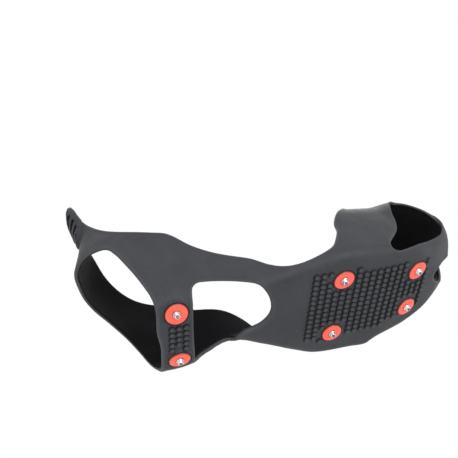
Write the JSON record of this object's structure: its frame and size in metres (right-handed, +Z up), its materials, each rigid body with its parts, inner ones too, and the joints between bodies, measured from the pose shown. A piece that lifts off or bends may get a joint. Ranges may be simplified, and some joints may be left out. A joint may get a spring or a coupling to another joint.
{
  "type": "shoe ice cleats",
  "caption": "Slip-on elastic harness with steel ice studs riveted through its forefoot sole and heel strap, shaped as worn over a boot.",
  "frame": {"origin": "middle of the object's outline, on the ground that the studs stand on", "axes": "+X towards the toe, +Y to the wearer's left, +Z up"},
  "size_m": [0.2774, 0.0951, 0.1397],
  "materials": {
    "rubber": "satin",
    "disc": "satin",
    "steel": "bright",
    "carbide": "ground"
  },
  "bodies": {
    "root": {"harness": "rubber", "heel_right_disc": "disc", "heel_right_spike": "steel", "heel_right_pin": "carbide", "heel_right_washer": "steel", "heel_left_disc": "disc", "heel_left_spike": "steel", "heel_left_pin": "carbide", "heel_left_washer": "steel", "ball_right_disc": "disc", "ball_right_spike": "steel", "ball_right_pin": "carbide", "ball_right_washer": "steel", "ball_left_disc": "disc", "ball_left_spike": "steel", "ball_left_pin": "carbide", "ball_left_washer": "steel", "toe_right_disc": "disc", "toe_right_spike": "steel", "toe_right_pin": "carbide", "toe_right_washer": "steel", "toe_left_disc": "disc", "toe_left_spike": "steel", "toe_left_pin": "carbide", "toe_left_washer": "steel"}
  },
  "joints": []
}
